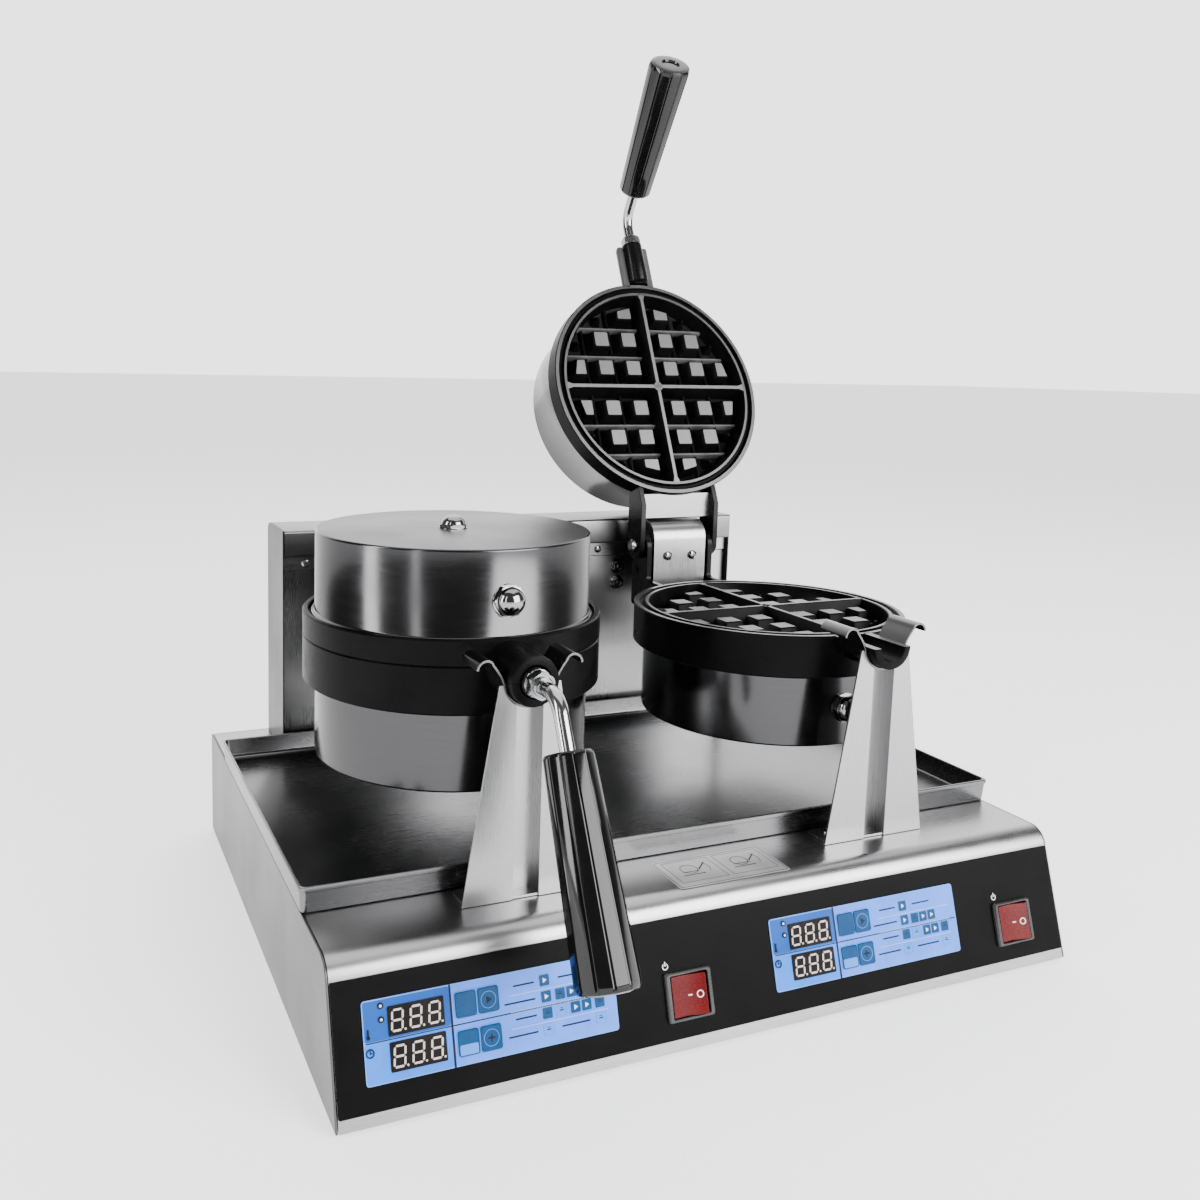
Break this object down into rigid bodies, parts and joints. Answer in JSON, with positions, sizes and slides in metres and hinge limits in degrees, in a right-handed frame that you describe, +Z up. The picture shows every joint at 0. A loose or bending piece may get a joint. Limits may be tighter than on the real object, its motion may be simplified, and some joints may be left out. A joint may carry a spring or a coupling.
{
  "type": "double rotary waffle maker",
  "caption": "Counter-top double rotary waffle maker in brushed steel with black iron grids, one iron closed and one open, digital controls and a slide-out drip tray.",
  "frame": {"origin": "centre of the object's footprint, on the counter top", "axes": "+X to the right seen from the front, +Y to the rear, +Z up"},
  "size_m": [0.5232, 0.5314, 0.6725],
  "materials": {
    "brushed_steel": "brushed stainless sheet, fine straight grain",
    "polished_steel": "bright polished steel",
    "cast_iron": "black seasoned casting, milled light on the peg tops and rims",
    "black_paint": "heat-resistant black coating, satin",
    "bakelite": "glossy fluted phenolic",
    "panel_film": "printed polyester film, fine texture",
    "display_blue": "printed membrane foil with embossed keys",
    "switch_black": "moulded nylon",
    "switch_red": "translucent red rocker",
    "rubber": "matt black rubber",
    "zinc": "bright zinc-plated turned steel",
    "board_green": "green board laminate",
    "core_steel": "varnished laminations",
    "terminal_white": "white ceramic",
    "element_steel": "heat-darkened sheath"
  },
  "bodies": {
    "chassis": {"chassis_sheet": "brushed_steel", "side_panel_left": "brushed_steel", "side_panel_right": "brushed_steel", "rear_panel": "brushed_steel", "bottom_plate": "brushed_steel", "cable_gland": "switch_black", "foot_front_left": "rubber", "foot_front_right": "rubber", "foot_rear_left": "rubber", "foot_rear_right": "rubber", "control_board": "board_green", "transformer": "core_steel", "terminal_block": "terminal_white", "riser_cover": "brushed_steel", "riser_cheek_left": "brushed_steel", "riser_cheek_right": "brushed_steel", "riser_front": "brushed_steel", "riser_strip": "brushed_steel", "bearing_left": "zinc", "bearing_right": "zinc", "control_overlay": "panel_film", "display_left": "display_blue", "display_right": "display_blue", "bezel_left": "switch_black", "bezel_right": "switch_black", "post_left": "brushed_steel", "post_right": "brushed_steel", "saddle_left": "polished_steel", "saddle_right": "polished_steel", "grid_lower_right": "cast_iron", "can_lower_right": "brushed_steel", "element_lower_right": "element_steel", "hinge_bracket_right": "black_paint", "hinge_pin_right": "zinc", "rear_axle_right": "zinc"},
    "tray": {"drip_tray": "brushed_steel"},
    "iron_left": {"grid_lower_left": "cast_iron", "can_lower_left": "brushed_steel", "element_lower_left": "element_steel", "hinge_bracket_left": "black_paint", "hinge_pin_left": "zinc", "rear_axle_left": "zinc"},
    "lid_left": {"grid_upper_left": "cast_iron", "can_upper_left": "brushed_steel", "element_upper_left": "element_steel", "hinge_arms_left": "black_paint", "stem_left": "black_paint", "handle_rod_left": "polished_steel", "grip_left": "bakelite"},
    "switch_left": {"rocker_left": "switch_red"},
    "lid_right": {"grid_upper_right": "cast_iron", "can_upper_right": "brushed_steel", "element_upper_right": "element_steel", "hinge_arms_right": "black_paint", "stem_right": "black_paint", "handle_rod_right": "polished_steel", "grip_right": "bakelite"},
    "switch_right": {"rocker_right": "switch_red"}
  },
  "joints": [
    {"name": "tray_slide", "type": "slide", "parent": "chassis", "child": "tray", "axis": [-1, 0, 0], "range_m": [0, 0.24]},
    {"name": "iron_left_turn", "type": "hinge", "parent": "chassis", "child": "iron_left", "pos_m": [-0.1292, -0.01152, 0.2215], "axis": [0, 1, 0], "range_deg": [0, 180]},
    {"name": "lid_left_hinge", "type": "hinge", "parent": "iron_left", "child": "lid_left", "pos_m": [-0.1292, 0.12958, 0.2483], "axis": [1, 0, 0], "range_deg": [-114.5, 0]},
    {"name": "lid_right_hinge", "type": "hinge", "parent": "chassis", "child": "lid_right", "pos_m": [0.1338, 0.12958, 0.2483], "axis": [1, 0, 0], "range_deg": [0, 114.5]},
    {"name": "switch_left_rock", "type": "hinge", "parent": "chassis", "child": "switch_left", "pos_m": [-0.0413, -0.18674, 0.0309], "axis": [0, 0.2965, 0.955], "range_deg": [0, 16]},
    {"name": "switch_right_rock", "type": "hinge", "parent": "chassis", "child": "switch_right", "pos_m": [0.217, -0.18674, 0.0309], "axis": [0, 0.2965, 0.955], "range_deg": [0, 16]}
  ]
}
